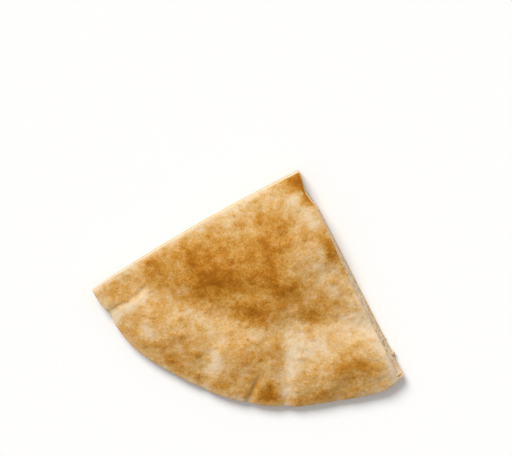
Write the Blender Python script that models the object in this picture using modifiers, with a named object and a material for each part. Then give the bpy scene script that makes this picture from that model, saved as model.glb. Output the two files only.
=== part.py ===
"""One quarter of a round pita bread, knife-cut and lying on its flat base.

The loaf is turned, pressed out of true by its oven bubbles, quartered by a knife
and left open along the thin pocket between its two layers.
Metres, +Z up. The cut tip points along +Y and the baked rim faces -Y.
"""

import math

import bmesh
import bpy
from mathutils import Vector, noise

MM = 0.001

# The whole loaf, before it is cut.
LOAF_RADIUS = 85 * MM
LOAF_THICKNESS = 6.6 * MM
SHOULDER_RUN = 16 * MM  # how far in the top starts to turn down
SHOULDER_POWER = 0.75  # 0.5 is a round shoulder, 1 a flatter one that meets a sharper rim
FOOT_RUN = 8 * MM  # how far in the base starts to turn up
RIM_HEIGHT = 3.2 * MM  # where the edge stands out furthest
TURN_STEPS = 296
TOP_RINGS = 32
BASE_RINGS = 12
RIM_STEPS = 5

# The edge of a hand-stretched round: angle from -Y in degrees, spread in degrees, swell.
RIM_SWELLS = (
    (-26, 8, 1.3 * MM),
    (-2, 12, 0.4 * MM),
    (26, 9, -1.3 * MM),
    (-36.3, 1.6, -1.0 * MM),
    (-7.5, 1.4, -0.45 * MM),
    (4.2, 1.1, -0.4 * MM),
    (13.2, 1.4, -0.45 * MM),
)
WORN_CORNER_FROM = 37.5
WORN_CORNER_RUN = 8
WORN_CORNER = 2.4 * MM
STRETCH_POWER = 4

# The two knife cuts, which meet at the tip.
LEFT_CUT = math.radians(-43.6)
RIGHT_CUT = math.radians(43.4)
LEFT_BOW = 1.3 * MM
RIGHT_BOW = 0.1 * MM
CUT_REACH = 130 * MM
CUT_STEPS = 32
CUT_LEAN = 0.06  # how far the lower crust stands out, for each unit of depth
RIGHT_FLARE = 1.6 * MM  # how much further it stands out on the right, over the loaf's thickness
FLARE_FROM = 14 * MM
FLARE_RUN = 36 * MM
NICK_PLACE = 8 * MM  # crumb lost on the right of the tip
NICK_LENGTH = 4.6 * MM
NICK_DEPTH = 1.2 * MM
TIP_PAST_CENTRE = 0.8 * MM
KNIFE_BOTTOM = -4 * MM
KNIFE_TOP = 20 * MM

# The pocket between the two layers.
POCKET_RADIUS = 73 * MM
POCKET_GAP = 0.7 * MM
POCKET_HEIGHT = 3.1 * MM
POCKET_BLUNTNESS = 4  # 2 is a plain ellipse, and more keeps the gap open nearer to its edge
POCKET_RINGS = 9
POCKET_TURN_STEPS = 104

# The valley where the flat middle meets the puffed band inside the rim.
VALLEY_LEFT = -57 * MM
VALLEY_RIGHT = -46 * MM
VALLEY_SWEEP = 38 * MM
VALLEY_DEPTH = 0.9 * MM
VALLEY_WIDTH = 5 * MM

# The fold that sets the flat left corner apart from the puffed band.
FOLD_START = Vector((-40.5 * MM, -55.5 * MM))
FOLD_END = Vector((-51.5 * MM, -69.3 * MM))
FOLD_DEPTH = 0.42 * MM
FOLD_WIDTH = 1.0 * MM
FOLD_FADE = 0.25

# Bubbles and sags of the top crust: x, y, half length, half width, turn, height.
BUBBLES = (
    (5, -31, 30, 20, 46, 3.0),
    (-30, -67, 13, 7, -28, 1.3),
    (0, -67, 9, 9, 0, 1.5),
    (38, -60, 14, 11, 32, 1.7),
    (-18, -42, 12, 8, 15, 0.8),
    (6, -30, 13, 9, -20, 0.6),
    (-1, -51, 7, 4, 8, 0.4),
    (16, -21, 8, 5, -45, 0.7),
    (0, -13, 8, 6, 0, 0.4),
    (4, -38, 7, 6, 0, 0.5),
    (1, -57, 7, 4, 5, 0.8),
    (20, -34, 9, 6, 30, -0.6),
    (-34, -44, 9, 6, 40, 0.5),
    (52, -64, 6, 5, 0, -0.9),
)

# Creases that run in from the rim: start, end, half width, depth.
CREASES = (
    ((-14, -60), (-11, -86), 3.4, 0.9),
    ((8, -71), (6, -86), 1.2, 1.1),
    ((12, -54), (20.5, -86), 3.0, 0.9),
    ((44, -58), (34, -80), 3.2, 0.6),
)

CREASE_FADE = 0.5

# Where the top crust sags towards the two cuts.
LEFT_DROOP = 1.4 * MM
LEFT_DROOP_RUN = 8 * MM
RIGHT_DROOP = 1.0 * MM
RIGHT_DROOP_RUN = 7 * MM
RIGHT_DROOP_FROM = -38 * MM
RIGHT_DROOP_SPREAD = 12 * MM

# Ends of the piece that curl clear of the table.
TIP_LIFT = 1.0 * MM
TIP_LIFT_FROM = -24 * MM
TIP_LIFT_POWER = 1.6
CORNER_LIFT = 1.6 * MM
CORNER_LIFT_FROM = 44 * MM
CORNER_LIFT_RUN = 16 * MM

# The small unevenness of the crust.
WAVE_LENGTH = 9 * MM
WAVE_HEIGHT = 0.35 * MM

CRUST_COLOR = (0.60, 0.35, 0.13, 1.0)
CRUST_ROUGHNESS = 0.8
SHARP_ANGLE = math.radians(40)
MERGE_DISTANCE = 0.01 * MM


def clear_scene():
    for obj in list(bpy.data.objects):
        bpy.data.objects.remove(obj, do_unlink=True)


def new_collection(name):
    made = bpy.data.collections.new(name)
    bpy.context.scene.collection.children.link(made)
    return made


def smooth_step(t):
    t = min(max(t, 0.0), 1.0)
    return t * t * (3 - 2 * t)


def bell(distance):
    return math.exp(-distance * distance)


def valley_line(x):
    """The y of the valley, which swings towards the tip on the right."""
    return VALLEY_LEFT + (VALLEY_RIGHT - VALLEY_LEFT) * smooth_step(x / VALLEY_SWEEP)


def cut_direction(angle):
    """Way that a cut runs from the tip, for its angle from -Y."""
    return Vector((math.sin(angle), -math.cos(angle)))


def beside(x, y, start, end):
    """Distance to the left of the line from start to end, and the share of the way along it."""
    along = (end - start).normalized()
    offset = Vector((x, y)) - start
    return along.cross(offset), offset.dot(along) / (end - start).length


def groove(x, y, start, end, half_width, depth, fade):
    """Depth of a groove along a line, which starts within `fade` of the line's length."""
    aside, share = beside(x, y, start, end)
    return depth * bell(aside / half_width) * smooth_step(share / fade)


def bubbles(x, y):
    total = 0.0
    for centre_x, centre_y, long_half, short_half, turn, height in BUBBLES:
        across = x - centre_x * MM
        up = y - centre_y * MM
        c, s = math.cos(math.radians(turn)), math.sin(math.radians(turn))
        u = (c * across + s * up) / (long_half * MM)
        v = (c * up - s * across) / (short_half * MM)
        total += height * MM * bell(math.hypot(u, v))
    return total


def creases(x, y):
    total = groove(x, y, FOLD_START, FOLD_END, FOLD_WIDTH, FOLD_DEPTH, FOLD_FADE)
    for start, end, half_width, depth in CREASES:
        total += groove(x, y, Vector(start) * MM, Vector(end) * MM, half_width * MM, depth * MM, CREASE_FADE)
    return total


def droop(x, y):
    """How far the top crust sags near the two cuts."""
    tip = Vector((0, TIP_PAST_CENTRE))
    from_left, _ = beside(x, y, tip, tip + cut_direction(LEFT_CUT))
    from_right, _ = beside(x, y, tip + cut_direction(RIGHT_CUT), tip)
    left = LEFT_DROOP * math.exp(-max(from_left, 0) / LEFT_DROOP_RUN)
    right = RIGHT_DROOP * math.exp(-max(from_right, 0) / RIGHT_DROOP_RUN)
    return left + right * smooth_step((RIGHT_DROOP_FROM - y) / RIGHT_DROOP_SPREAD)


def top_relief(x, y):
    """How far the top crust stands above a plain turned loaf."""
    valley = VALLEY_DEPTH * bell((valley_line(x) - y) / VALLEY_WIDTH)
    wave = WAVE_HEIGHT * noise.noise(Vector((x, y, 0)) / WAVE_LENGTH)
    return bubbles(x, y) - valley - creases(x, y) - droop(x, y) + wave


def lift(x, y):
    """How far the whole thickness curls up off the table."""
    tip = max(0.0, 1 - y / TIP_LIFT_FROM) ** TIP_LIFT_POWER
    corner = smooth_step((abs(x) - CORNER_LIFT_FROM) / CORNER_LIFT_RUN)
    return TIP_LIFT * tip + CORNER_LIFT * corner


def rim_stretch(x, y):
    """Share by which the round is stretched in this direction, more and more towards the rim."""
    angle = math.degrees(math.atan2(x, -y))
    swell = sum(size * bell((angle - middle) / spread) for middle, spread, size in RIM_SWELLS)
    swell -= WORN_CORNER * smooth_step((angle - WORN_CORNER_FROM) / WORN_CORNER_RUN)
    return 1 + swell / LOAF_RADIUS * (math.hypot(x, y) / LOAF_RADIUS) ** STRETCH_POWER


def bake(mesh):
    """Moves a turned mesh from its plain form to the loaf's uneven one."""
    form = bmesh.new()
    form.from_mesh(mesh)
    for vertex in form.verts:
        x, y, z = vertex.co
        stretch = rim_stretch(x, y)
        x, y = x * stretch, y * stretch
        share = smooth_step(z / LOAF_THICKNESS)
        vertex.co = (x, y, z + share * top_relief(x, y) + lift(x, y))
    bmesh.ops.triangulate(form, faces=form.faces)
    form.to_mesh(mesh)
    form.free()


def turned(name, profile, steps, collection):
    """A closed mesh turned about the Z axis from (radius, height) points, top to bottom."""
    outline = bpy.data.meshes.new(name + "_profile")
    points = [(radius, 0, height) for radius, height in profile]
    edges = [(i, i + 1) for i in range(len(points) - 1)]
    outline.from_pydata(points, edges, [])
    spun = bpy.data.objects.new(name + "_profile", outline)
    collection.objects.link(spun)
    screw = spun.modifiers.new("Turn", "SCREW")
    screw.steps = steps
    screw.render_steps = steps
    screw.use_merge_vertices = True
    screw.merge_threshold = MERGE_DISTANCE
    graph = bpy.context.evaluated_depsgraph_get()
    mesh = bpy.data.meshes.new_from_object(spun.evaluated_get(graph))
    mesh.name = name
    bpy.data.objects.remove(spun)
    made = bpy.data.objects.new(name, mesh)
    collection.objects.link(made)
    return made


def quarter_turn(count):
    """Angles in radians from 90 degrees down to 0, both ends included."""
    return [math.pi / 2 * (1 - i / count) for i in range(count + 1)]


def loaf_profile():
    shoulder = LOAF_RADIUS - SHOULDER_RUN
    foot = LOAF_RADIUS - FOOT_RUN
    drop = LOAF_THICKNESS - RIM_HEIGHT
    top = [(shoulder * i / TOP_RINGS, LOAF_THICKNESS) for i in range(TOP_RINGS)]
    over = [
        (shoulder + SHOULDER_RUN * math.cos(a), RIM_HEIGHT + drop * math.sin(a) ** (2 * SHOULDER_POWER))
        for a in quarter_turn(RIM_STEPS)
    ]
    under = [
        (foot + FOOT_RUN * math.cos(a), RIM_HEIGHT - RIM_HEIGHT * math.sin(a))
        for a in reversed(quarter_turn(RIM_STEPS)[:-1])
    ]
    base = [(foot * (1 - i / BASE_RINGS), 0) for i in range(1, BASE_RINGS + 1)]
    return top + over + under + base


def pocket_profile():
    """A thin lens that tapers to nothing at the pocket's edge."""
    rings = [i / POCKET_RINGS for i in range(POCKET_RINGS + 1)]
    half = [POCKET_GAP / 2 * math.sqrt(1 - ring**POCKET_BLUNTNESS) for ring in rings]
    upper = [(POCKET_RADIUS * r, POCKET_HEIGHT + h) for r, h in zip(rings, half)]
    lower = [(POCKET_RADIUS * r, POCKET_HEIGHT - h) for r, h in zip(rings, half)]
    return upper + lower[-2::-1]


def cut_edge(angle, bow, side, height):
    """Points of one knife cut at a height above the table, from the tip outwards."""
    along = cut_direction(angle)
    outwards = Vector((math.cos(angle), math.sin(angle))) * side
    tip = Vector((0, TIP_PAST_CENTRE - CUT_LEAN * (height - KNIFE_BOTTOM)))
    points = []
    for i in range(CUT_STEPS + 1):
        reach = CUT_REACH * i / CUT_STEPS
        swell = bow * math.sin(math.pi * min(reach / LOAF_RADIUS, 1))
        if side > 0:
            swell -= NICK_DEPTH * bell((reach - NICK_PLACE) / NICK_LENGTH)
            swell -= RIGHT_FLARE * smooth_step((reach - FLARE_FROM) / FLARE_RUN) * height / LOAF_THICKNESS
        points.append(tip + along * reach + outwards * swell)
    return points


def knife_ring(form, height):
    left = cut_edge(LEFT_CUT, LEFT_BOW, -1, height)
    right = cut_edge(RIGHT_CUT, RIGHT_BOW, 1, height)
    return [form.verts.new((x, y, height)) for x, y in left[::-1] + right[1:]]


def make_knife(collection):
    """The wedge that a knife leaves: its sides are the two cuts, from table to above the crust."""
    mesh = bpy.data.meshes.new("knife")
    form = bmesh.new()
    bottom = knife_ring(form, KNIFE_BOTTOM)
    top = knife_ring(form, KNIFE_TOP)
    form.faces.new(bottom)
    form.faces.new(top)
    for i in range(len(bottom)):
        form.faces.new((bottom[i - 1], bottom[i], top[i], top[i - 1]))
    bmesh.ops.triangulate(form, faces=form.faces)
    bmesh.ops.recalc_face_normals(form, faces=form.faces)
    form.to_mesh(mesh)
    form.free()
    knife = bpy.data.objects.new("knife", mesh)
    collection.objects.link(knife)
    return knife


def cut_with(target, cutter, operation):
    cutter.hide_render = True
    cutter.display_type = "WIRE"
    boolean = target.modifiers.new(cutter.name, "BOOLEAN")
    boolean.operation = operation
    boolean.object = cutter


def stand_on_origin(piece, cutters):
    """Puts the middle of the piece's base at the origin."""
    graph = bpy.context.evaluated_depsgraph_get()
    points = [vertex.co for vertex in piece.evaluated_get(graph).data.vertices]
    low = Vector([min(point[axis] for point in points) for axis in range(3)])
    high = Vector([max(point[axis] for point in points) for axis in range(3)])
    middle = (low + high) / 2
    for obj in (piece, *cutters):
        obj.location = (-middle.x, -middle.y, -low.z)


def make_crust():
    crust = bpy.data.materials.new("crust")
    crust.use_nodes = True
    surface = crust.node_tree.nodes["Principled BSDF"]
    surface.inputs["Base Color"].default_value = CRUST_COLOR
    surface.inputs["Roughness"].default_value = CRUST_ROUGHNESS
    surface.inputs["Metallic"].default_value = 0
    return crust


def main():
    clear_scene()
    parts = new_collection("pita_bread")
    cutters = new_collection("pita_bread_cutters")
    quarter = turned("pita_quarter", loaf_profile(), TURN_STEPS, parts)
    pocket = turned("pocket", pocket_profile(), POCKET_TURN_STEPS, cutters)
    bake(quarter.data)
    bake(pocket.data)
    knife = make_knife(cutters)
    cut_with(quarter, pocket, "DIFFERENCE")
    cut_with(quarter, knife, "INTERSECT")
    stand_on_origin(quarter, (knife, pocket))
    quarter.data.materials.append(make_crust())
    quarter.data.shade_smooth()
    quarter.data.set_sharp_from_angle(angle=SHARP_ANGLE)


main()
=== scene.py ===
import math

import bmesh
import bpy
import numpy as np
from mathutils import Matrix, Vector, noise


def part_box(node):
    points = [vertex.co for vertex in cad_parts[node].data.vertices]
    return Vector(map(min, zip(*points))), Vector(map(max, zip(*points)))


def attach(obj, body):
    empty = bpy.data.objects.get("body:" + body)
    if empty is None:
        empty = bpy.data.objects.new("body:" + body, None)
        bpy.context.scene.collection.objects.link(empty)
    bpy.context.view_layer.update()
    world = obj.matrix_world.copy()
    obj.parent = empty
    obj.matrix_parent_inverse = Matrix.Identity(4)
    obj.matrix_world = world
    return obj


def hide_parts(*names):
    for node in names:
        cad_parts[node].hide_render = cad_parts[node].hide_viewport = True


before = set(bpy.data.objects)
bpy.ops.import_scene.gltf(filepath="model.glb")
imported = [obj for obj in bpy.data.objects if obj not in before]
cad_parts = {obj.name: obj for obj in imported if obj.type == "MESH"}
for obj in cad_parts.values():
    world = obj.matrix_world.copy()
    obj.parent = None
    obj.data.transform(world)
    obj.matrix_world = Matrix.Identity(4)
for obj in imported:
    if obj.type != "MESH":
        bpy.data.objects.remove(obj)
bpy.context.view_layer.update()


# ---------------------------------------------------------------------------
# The quarter loaf: a round of yeast dough, baked hot until steam split it into
# two thin layers. It sank again as it cooled, and a knife cut it in four.
# The lengths of this section are in millimetres until the mesh is made.
# ---------------------------------------------------------------------------

MM = 0.001

# The loaf as a plain turned form, with a rounded shoulder above the rim and a foot below it.
LOAF_RADIUS = 85.0
LOAF_THICKNESS = 6.6
SHOULDER_RUN = 16.0
SHOULDER_POWER = 0.75
FOOT_RUN = 8.0
RIM_HEIGHT = 3.2

# Where the rim was stretched or pinched: angle from -Y, half width in degrees, swell.
RIM_SWELLS = (
    (-26, 8, 1.3),
    (-2, 12, 0.4),
    (26, 9, -1.3),
    (-36.3, 1.6, -1.0),
    (-7.5, 1.4, -0.45),
    (4.2, 1.1, -0.4),
    (13.2, 1.4, -0.45),
)
WORN_CORNER_FROM = 37.5
WORN_CORNER_RUN = 8
WORN_CORNER = 2.4
STRETCH_POWER = 4

# The two knife cuts. Each is an angle from -Y, and the cut leans in towards its top.
LEFT_CUT = -43.6
RIGHT_CUT = 43.4
LEFT_BOW = 1.3
RIGHT_BOW = 0.1
CUT_LEAN = 0.06
KNIFE_BOTTOM = -4
RIGHT_FLARE = 1.6
FLARE_FROM = 14.0
FLARE_RUN = 36.0
NICK_PLACE = 8.0
NICK_LENGTH = 4.6
NICK_DEPTH = 1.2
TIP_PAST_CENTRE = 0.8

# The valley between the flat middle and the puffed band inside the rim.
VALLEY_LEFT = -57.0
VALLEY_RIGHT = -46.0
VALLEY_SWEEP = 38.0
VALLEY_DEPTH = 0.9
VALLEY_WIDTH = 5.0

# A fold pressed into the top crust near the left corner.
FOLD_START = (-40.5, -55.5)
FOLD_END = (-51.5, -69.3)
FOLD_DEPTH = 0.42
FOLD_WIDTH = 1.0
FOLD_FADE = 0.25
FOLD_WAVER = 0.9
FOLD_WAVER_LUMPS = 4.5

# Bubbles and sags of the top crust: x, y, half length, half width, turn, height.
BUBBLES = (
    (5, -31, 30, 20, 46, 3.0),
    (-30, -67, 13, 7, -28, 1.3),
    (0, -67, 9, 9, 0, 1.5),
    (38, -60, 14, 11, 32, 1.7),
    (-18, -42, 12, 8, 15, 0.8),
    (6, -30, 13, 9, -20, 0.6),
    (-1, -51, 7, 4, 8, 0.4),
    (16, -21, 8, 5, -45, 0.7),
    (0, -13, 8, 6, 0, 0.4),
    (4, -38, 7, 6, 0, 0.5),
    (1, -57, 7, 4, 5, 0.8),
    (20, -34, 9, 6, 30, -0.6),
    (-34, -44, 9, 6, 40, 0.5),
    (52, -64, 6, 5, 0, -0.9),
)

# Creases that run in from the rim: start, end, half width, depth.
CREASES = (
    ((-14, -60), (-11, -86), 3.4, 0.9),
    ((8, -71), (6, -86), 1.2, 1.1),
    ((12, -54), (20.5, -86), 3.0, 0.9),
    ((44, -58), (34, -80), 3.2, 0.6),
)
CREASE_FADE = 0.5

UNEVEN_HEIGHT = 0.35
UNEVEN_LUMPS = 9.0

# The top crust sinks towards the cuts, and the tip and corners curl up off the table.
LEFT_CORNER = (-58.6, -61.7)
LEFT_DROOP = 1.4
LEFT_DROOP_RUN = 8.0
RIGHT_CORNER = (58.5, -61.9)
RIGHT_DROOP = 1.0
RIGHT_DROOP_RUN = 7.0
RIGHT_DROOP_FROM = -38.0
RIGHT_DROOP_SPREAD = 12.0

TIP_LIFT = 1.0
TIP_LIFT_FROM = -24.0
TIP_LIFT_POWER = 1.6
CORNER_LIFT = 1.6
CORNER_LIFT_FROM = 44.0
CORNER_LIFT_RUN = 16.0

NOISE_FADE = 1.0
NOISE_STEP = 2.0


def smooth_step(t):
    t = np.clip(t, 0.0, 1.0)
    return t * t * (3 - 2 * t)


def bell(distance):
    return np.exp(-distance * distance)


def grain(x, y, size, seed=0.0, octaves=1, z=0.0):
    """Smooth noise from about -1 to 1 whose lumps are about `size` across."""
    z = np.broadcast_to(z, x.shape)
    places = (Vector((a / size + seed, b / size - seed, c / size)) for a, b, c in zip(x.flat, y.flat, z.flat))
    if octaves == 1:
        made = [noise.noise(place) for place in places]
    else:
        made = [noise.fractal(place, NOISE_FADE, NOISE_STEP, octaves) for place in places]
    return np.array(made).reshape(x.shape)


def valley_line(x):
    """The y of the valley between the flat middle and the puffed band inside the rim."""
    return VALLEY_LEFT + (VALLEY_RIGHT - VALLEY_LEFT) * smooth_step(x / VALLEY_SWEEP)


def beside(x, y, start, end):
    """Distance to the left of a line on the plan, and the share of the way along it."""
    run = np.subtract(end, start)
    length = np.hypot(*run)
    along_x, along_y = run / length
    dx, dy = x - start[0], y - start[1]
    return along_x * dy - along_y * dx, (along_x * dx + along_y * dy) / length


def spots(x, y, listed):
    """Sum of oval bells, each (x, y, half length, half width, turn, height)."""
    total = np.zeros_like(x)
    for centre_x, centre_y, long_half, short_half, turn, height in listed:
        cosine, sine = math.cos(math.radians(turn)), math.sin(math.radians(turn))
        lengthwise = (cosine * (x - centre_x) + sine * (y - centre_y)) / long_half
        sideways = (cosine * (y - centre_y) - sine * (x - centre_x)) / short_half
        total += height * np.exp(-(lengthwise * lengthwise + sideways * sideways))
    return total


def top_relief(x, y):
    """How far the top crust stands above a plain turned loaf."""
    past_valley = valley_line(x) - y
    height = spots(x, y, BUBBLES) - VALLEY_DEPTH * bell(past_valley / VALLEY_WIDTH)
    beside_fold, share = beside(x, y, FOLD_START, FOLD_END)
    beside_fold = beside_fold + FOLD_WAVER * grain(x, y, FOLD_WAVER_LUMPS, seed=23)
    height -= FOLD_DEPTH * bell(beside_fold / FOLD_WIDTH) * smooth_step(share / FOLD_FADE + 0.5)
    for start, end, half_width, depth in CREASES:
        aside, share = beside(x, y, start, end)
        height -= depth * bell(aside / half_width) * smooth_step(share / CREASE_FADE)
    from_left, _ = beside(x, y, (0, TIP_PAST_CENTRE), LEFT_CORNER)
    height -= LEFT_DROOP * np.exp(-np.maximum(from_left, 0) / LEFT_DROOP_RUN)
    from_right, _ = beside(x, y, RIGHT_CORNER, (0, TIP_PAST_CENTRE))
    drooped = smooth_step((RIGHT_DROOP_FROM - y) / RIGHT_DROOP_SPREAD)
    height -= RIGHT_DROOP * drooped * np.exp(-np.maximum(from_right, 0) / RIGHT_DROOP_RUN)
    return height + UNEVEN_HEIGHT * grain(x, y, UNEVEN_LUMPS)


def lift(x, y):
    """How far the whole thickness curls up off the table."""
    tip = np.maximum(0.0, 1 - y / TIP_LIFT_FROM) ** TIP_LIFT_POWER
    corner = smooth_step((np.abs(x) - CORNER_LIFT_FROM) / CORNER_LIFT_RUN)
    return TIP_LIFT * tip + CORNER_LIFT * corner


# The plan of the quarter: a tip, two knife cuts and the stretch of rim between them.

SETTLING_ROUNDS = 3
CORNER_ROUNDS = 8


def rim_radius(angle):
    """Radius of the rim at an angle in degrees from -Y."""
    radius = np.full_like(angle, LOAF_RADIUS)
    for middle, spread, size in RIM_SWELLS:
        radius += size * bell((angle - middle) / spread)
    return radius - WORN_CORNER * smooth_step((angle - WORN_CORNER_FROM) / WORN_CORNER_RUN)


def turned_radius(x, y):
    """Radius that a point had in the plain turned loaf, before the rim was stretched."""
    radius = np.hypot(x, y)
    swell = rim_radius(np.degrees(np.arctan2(x, -y))) / LOAF_RADIUS - 1
    plain = radius
    for _ in range(SETTLING_ROUNDS):
        plain = radius / (1 + swell * (plain / LOAF_RADIUS) ** STRETCH_POWER)
    return plain


def corner_angle(cut, tip_y):
    """Where a straight cut from the tip meets the rim, as an angle in degrees from -Y."""
    along = np.array([math.sin(math.radians(cut)), -math.cos(math.radians(cut))])
    reach = LOAF_RADIUS
    for _ in range(CORNER_ROUNDS):
        point = np.array([0.0, tip_y]) + along * reach
        angle = math.degrees(math.atan2(point[0], -point[1]))
        reach *= rim_radius(np.array(angle)) / np.hypot(*point)
    return angle


def plan(across, out, height, rim_gap):
    """Plan of the quarter at a height.

    `across` runs from 0 at the left cut to 1 at the right one, and `out` from 0 at the tip to 1 at the rim.
    """
    tip_y = TIP_PAST_CENTRE - CUT_LEAN * (height - KNIFE_BOTTOM)
    left = corner_angle(LEFT_CUT, tip_y)
    right = corner_angle(RIGHT_CUT, tip_y)
    angle = left + (right - left) * across
    radius = rim_radius(angle) - rim_gap
    rim_x, rim_y = radius * np.sin(np.radians(angle)), -radius * np.cos(np.radians(angle))
    x, y = out * rim_x, tip_y + out * (rim_y - tip_y)
    for cut, side, bow in ((LEFT_CUT, -1, LEFT_BOW), (RIGHT_CUT, 1, RIGHT_BOW)):
        closeness = np.clip(1 - 2 * np.abs(across - (side + 1) / 2), 0, 1) ** 2
        swell = bow * np.sin(math.pi * out)
        if side > 0:
            reach = out * LOAF_RADIUS
            swell = swell - NICK_DEPTH * bell((reach - NICK_PLACE) / NICK_LENGTH)
            flare = RIGHT_FLARE * smooth_step((reach - FLARE_FROM) / FLARE_RUN)
            swell = swell - flare * height / LOAF_THICKNESS
        x = x + side * math.cos(math.radians(cut)) * swell * closeness
        y = y + side * math.sin(math.radians(cut)) * swell * closeness
    return x, y


# The skin of the loaf, top and underneath.

BLISTERS = 150
BLISTER_HEIGHT = 0.34
BLISTER_WIDEST = 2.6
BLISTER_SPREAD = 44  # degrees to each side of -Y
BLISTER_REACHES = (0.003, 0.96)  # squares of the share of the way from tip to rim
BLISTER_SIZES = (0.35, 1.0)
BLISTER_SIZE_POWER = 1.5
BLISTER_HEIGHTS = (0.3, 1.0)
BLISTER_SQUASHES = (0.65, 1.0)
BLISTER_MOST = 1.4


def top_height(x, y):
    plain = turned_radius(x, y)
    past = np.clip((plain - LOAF_RADIUS + SHOULDER_RUN) / SHOULDER_RUN, 0, 1)
    profile = RIM_HEIGHT + (LOAF_THICKNESS - RIM_HEIGHT) * (1 - past * past) ** SHOULDER_POWER
    share = smooth_step(profile / LOAF_THICKNESS)
    return profile + share * top_relief(x, y) + lift(x, y)


def base_height(x, y):
    plain = turned_radius(x, y)
    past = np.clip((plain - LOAF_RADIUS + FOOT_RUN) / FOOT_RUN, 0, 1)
    return RIM_HEIGHT * (1 - np.sqrt(1 - past * past)) + lift(x, y)


def blisters(x, y, seed):
    """Small round bubbles of the crust, from 0 to about 1, scattered at random."""
    draw = np.random.default_rng(seed)
    total = np.zeros_like(x)
    for _ in range(BLISTERS):
        angle = math.radians(draw.uniform(-BLISTER_SPREAD, BLISTER_SPREAD))
        reach = LOAF_RADIUS * math.sqrt(draw.uniform(*BLISTER_REACHES))
        size = BLISTER_WIDEST * draw.uniform(*BLISTER_SIZES) ** BLISTER_SIZE_POWER
        height = draw.uniform(*BLISTER_HEIGHTS)
        squash = draw.uniform(*BLISTER_SQUASHES)
        dx, dy = x - reach * math.sin(angle), y + reach * math.cos(angle)
        near = (np.abs(dx) < 3 * size) & (np.abs(dy) < 3 * size)
        total[near] += height * np.exp(-((dx[near] / size) ** 2 + (dy[near] / size / squash) ** 2))
    return np.minimum(total, BLISTER_MOST)


# Places that browned most and least, with a few pale strips that are partly painted highlight: x, y, half
# length, half width, turn, strength.
TOASTED = (
    (-10, -41, 27, 13, 8, 0.26),
    (-18, -45, 11, 7, 12, 0.38),
    (1, -35, 5, 6, 0, 0.26),
    (7, -42, 7, 6, 0, 0.28),
    (20, -47, 6, 4.5, 10, 0.28),
    (-4, -28, 7, 4.5, 10, 0.24),
    (-3, -20, 8, 4, 0, 0.20),
    (-38, -48, 5, 4.5, 40, 0.24),
    (-29, -38, 6, 4, 40, 0.10),
    (-22, -33, 8, 4, 30, 0.14),
    (-35, -65, 9, 3.5, 20, 0.16),
    (-31, -53, 7, 4, 0, 0.10),
    (-1, -53, 7, 3.4, 5, 0.46),
    (38.8, -62.5, 7, 5, 20, 0.34),
    (46, -66, 5, 5, 0, -0.14),
    (12.5, -79.5, 4.6, 4.8, 0, 0.44),
    (-24, -77, 9, 4.5, -15, 0.28),
    (27, -78, 10, 4, 25, 0.34),
    (42, -72, 6, 4, 40, 0.16),
    (3, -70, 6, 6, 0, 0.12),
    (10, -64, 4, 5, 0, 0.14),
    (-41, -72, 5, 4, -20, 0.14),
    (-2, -80, 9, 5, 0, 0.16),
    (0, -68, 4, 4, 0, 0.08),
    (0.8, -3.2, 5.4, 3.8, 0, 0.62),
    (5.5, -7, 3, 4, 40, 0.50),
    (19, -22.6, 5.2, 3.2, -50, 0.46),
    (10.5, -18.5, 3, 3, 0, 0.18),
    (24, -28.5, 4, 2.6, -50, 0.22),
    (-50, -58, 5, 5, 0, 0.14),
    (1, -9.5, 4.0, 2.6, 0, -0.20),
    (5, -13, 4, 3, 0, -0.14),
    (9, -14, 6, 3, -40, -0.32),
    (10, -36, 5, 3, 0, -0.12),
    (20, -37, 6, 3.5, 0, -0.12),
    (30, -37, 5, 4, 0, 0.14),
    (24, -32, 14, 5, -46, -0.12),
    (38, -46, 8, 4, -46, -0.26),
    (29, -50, 8, 4, 20, -0.16),
    # The next four pale strips lie on the flanks of the creases and of the right bulge that face the lamp:
    # partly paler dough, partly painted highlight.
    (16.5, -66, 3.8, 12, 6, -0.36),
    (19, -80, 2.2, 5, 10, -0.30),
    (22, -59, 7, 4, 10, -0.24),
    (-10, -72, 2.8, 8, 4, -0.36),
    (-35.5, -68.5, 3.6, 3.4, -20, -0.30),
    (-46, -68, 3, 3, 0, -0.12),
    (-17, -21, 15, 4, 46, -0.12),
    (53, -61, 4.5, 4, 0, -0.20),
    (-25, -60.5, 7, 4, 0, -0.16),
    (-14, -58, 4, 3, 0, -0.10),
    (1, -58.5, 5, 2.6, 0, -0.16),
    (-9, -49, 5, 4, 0, -0.10),
    (2, -44, 5, 3, 0, -0.10),
)
# The same for the underside, where the dough lay on the hot oven floor.
BASE_TOASTED = (
    (-22, -58, 12, 8, 20, 0.45),
    (14, -46, 10, 7, -30, 0.40),
    (26, -66, 9, 6, 30, 0.45),
    (-6, -26, 8, 6, 0, 0.35),
    (-4, -72, 12, 5, 0, 0.30),
    (-36, -44, 7, 5, 40, 0.30),
    (36, -48, 8, 4, -40, -0.2),
    (4, -58, 6, 5, 0, -0.2),
)
EVEN_BAKE = 0.38
OVAL_WANDER = 2.6
OVAL_WANDER_LUMPS = 8.0
CLOUDS = 0.11
CLOUD_LUMPS = 12.0
MOTTLE = 0.16
MOTTLE_LUMPS = 3.6


def browning(x, y, listed, seed):
    """How dark the crust baked, 0 pale to 1 dark, before the fine speckle of the material."""
    wander_x = x + OVAL_WANDER * grain(x, y, OVAL_WANDER_LUMPS, seed + 3, 3)
    wander_y = y + OVAL_WANDER * grain(x, y, OVAL_WANDER_LUMPS, seed + 7, 3)
    toast = EVEN_BAKE + spots(wander_x, wander_y, listed)
    clouds = CLOUDS * grain(x, y, CLOUD_LUMPS, seed + 11, 2)
    return toast + (clouds + MOTTLE * grain(x, y, MOTTLE_LUMPS, seed + 13, 3))


# The cut faces: the pocket's seam along them, and the torn pores of the crumb.

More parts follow.
